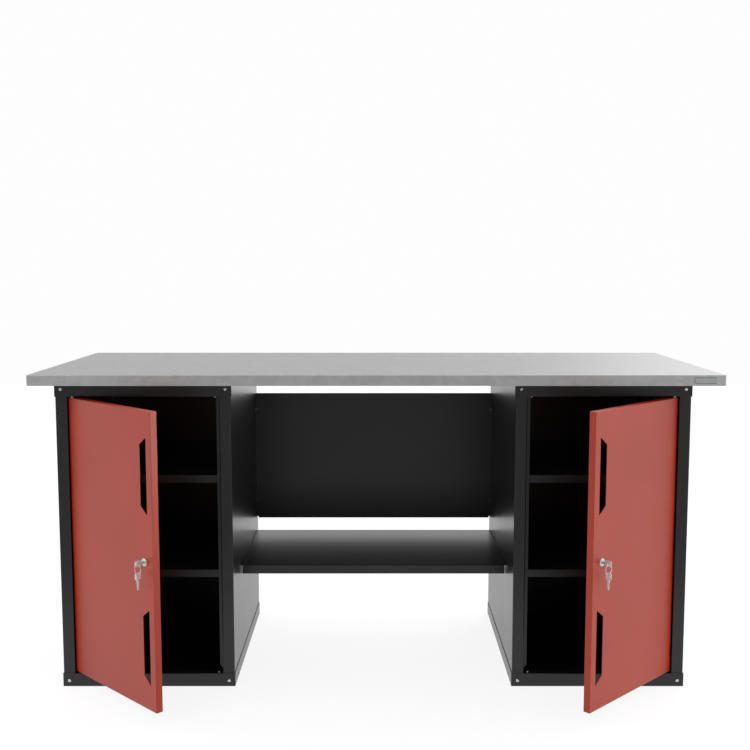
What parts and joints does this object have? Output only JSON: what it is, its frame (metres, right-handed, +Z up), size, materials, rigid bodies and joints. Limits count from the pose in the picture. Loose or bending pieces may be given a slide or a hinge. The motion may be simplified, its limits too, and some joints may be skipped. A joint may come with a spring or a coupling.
{
  "type": "workbench with cabinet doors",
  "caption": "Steel-clad worktop on a pair of lockable sheet-steel cabinets with hinged doors, and a shelf and rear panel across the bay between them.",
  "frame": {"origin": "middle of the footprint of the whole bench, doors half open, at floor level", "axes": "+X along the bench, to the right seen from the front; +Y from the front to the back; +Z up"},
  "size_m": [1.8, 0.8786, 0.8623],
  "materials": {
    "galvanised_steel": "galvanised, satin",
    "wood_board": "raw chipboard",
    "charcoal_powder_coat": "semi-gloss powder coat",
    "red_powder_coat": "semi-gloss powder coat",
    "bright_zinc": "bright zinc plate",
    "nickel_silver": "polished"
  },
  "bodies": {
    "bench": {"worktop_skin": "galvanised_steel", "worktop_board": "wood_board", "bay_shelf": "charcoal_powder_coat", "bay_panel": "charcoal_powder_coat", "left_bay_panel_bolt_lower": "bright_zinc", "left_bay_panel_bolt_upper": "bright_zinc", "left_bay_shelf_bolt_front": "bright_zinc", "left_bay_shelf_bolt_rear": "bright_zinc", "left_base_tray": "charcoal_powder_coat", "left_top_cap": "charcoal_powder_coat", "left_outer_side": "charcoal_powder_coat", "left_inner_side": "charcoal_powder_coat", "left_back_panel": "charcoal_powder_coat", "left_upper_shelf": "charcoal_powder_coat", "left_lower_shelf": "charcoal_powder_coat", "left_pivot_bottom": "bright_zinc", "left_pivot_top": "bright_zinc", "left_stud_bottom": "bright_zinc", "left_stud_top": "bright_zinc", "left_screw_base_outer": "bright_zinc", "left_screw_base_inner": "bright_zinc", "left_screw_top_outer": "bright_zinc", "left_screw_top_inner": "bright_zinc", "right_bay_panel_bolt_lower": "bright_zinc", "right_bay_panel_bolt_upper": "bright_zinc", "right_bay_shelf_bolt_front": "bright_zinc", "right_bay_shelf_bolt_rear": "bright_zinc", "right_base_tray": "charcoal_powder_coat", "right_top_cap": "charcoal_powder_coat", "right_outer_side": "charcoal_powder_coat", "right_inner_side": "charcoal_powder_coat", "right_back_panel": "charcoal_powder_coat", "right_upper_shelf": "charcoal_powder_coat", "right_lower_shelf": "charcoal_powder_coat", "right_pivot_bottom": "bright_zinc", "right_pivot_top": "bright_zinc", "right_stud_bottom": "bright_zinc", "right_stud_top": "bright_zinc", "right_screw_base_outer": "bright_zinc", "right_screw_base_inner": "bright_zinc", "right_screw_top_outer": "bright_zinc", "right_screw_top_inner": "bright_zinc"},
    "left_door": {"left_door": "red_powder_coat", "left_lock_body": "bright_zinc", "left_lock_nut": "bright_zinc"},
    "left_lock": {"left_lock_plug": "nickel_silver", "left_lock_cam": "bright_zinc", "left_cam_screw": "bright_zinc"},
    "left_key": {"left_key": "nickel_silver"},
    "left_key_ring": {"left_key_ring": "bright_zinc"},
    "left_spare_key": {"left_spare_key": "nickel_silver"},
    "right_door": {"right_door": "red_powder_coat", "right_lock_body": "bright_zinc", "right_lock_nut": "bright_zinc"},
    "right_lock": {"right_lock_plug": "nickel_silver", "right_lock_cam": "bright_zinc", "right_cam_screw": "bright_zinc"},
    "right_key": {"right_key": "nickel_silver"},
    "right_key_ring": {"right_key_ring": "bright_zinc"},
    "right_spare_key": {"right_spare_key": "nickel_silver"}
  },
  "joints": [
    {"name": "left_door_hinge", "type": "hinge", "parent": "bench", "child": "left_door", "pos_m": [-0.808, -0.16493, 0.417], "axis": [0, 0, -1], "range_deg": [-45, 65]},
    {"name": "left_lock_turn", "type": "hinge", "parent": "left_door", "child": "left_lock", "pos_m": [-0.56988, -0.41295, 0.417], "axis": [0.7071, 0.7071, 0], "range_deg": [0, 90]},
    {"name": "left_key_pull", "type": "slide", "parent": "left_lock", "child": "left_key", "axis": [-0.7071, -0.7071, 0], "range_m": [0, 0.026]},
    {"name": "left_ring_turn", "type": "hinge", "parent": "left_key", "child": "left_key_ring", "pos_m": [-0.58402, -0.42709, 0.40245], "axis": [0.7071, 0.7071, 0], "range_deg": [-90, 0]},
    {"name": "left_spare_swing", "type": "hinge", "parent": "left_key_ring", "child": "left_spare_key", "pos_m": [-0.58402, -0.42709, 0.38945], "axis": [0.7071, -0.7071, 0], "range_deg": [-75, 20]},
    {"name": "right_door_hinge", "type": "hinge", "parent": "bench", "child": "right_door", "pos_m": [0.792, -0.16493, 0.417], "axis": [0, 0, 1], "range_deg": [-45, 65]},
    {"name": "right_lock_turn", "type": "hinge", "parent": "right_door", "child": "right_lock", "pos_m": [0.55388, -0.41295, 0.417], "axis": [0.7071, -0.7071, 0], "range_deg": [0, 90]},
    {"name": "right_key_pull", "type": "slide", "parent": "right_lock", "child": "right_key", "axis": [0.7071, -0.7071, 0], "range_m": [0, 0.026]},
    {"name": "right_ring_turn", "type": "hinge", "parent": "right_key", "child": "right_key_ring", "pos_m": [0.56802, -0.42709, 0.40245], "axis": [0.7071, -0.7071, 0], "range_deg": [-90, 0]},
    {"name": "right_spare_swing", "type": "hinge", "parent": "right_key_ring", "child": "right_spare_key", "pos_m": [0.56802, -0.42709, 0.38945], "axis": [0.7071, 0.7071, 0], "range_deg": [-75, 20]}
  ],
  "couplings": [
    {"joint": "left_ring_turn", "follows": "left_lock_turn", "ratio": -1},
    {"joint": "right_ring_turn", "follows": "right_lock_turn", "ratio": -1}
  ]
}
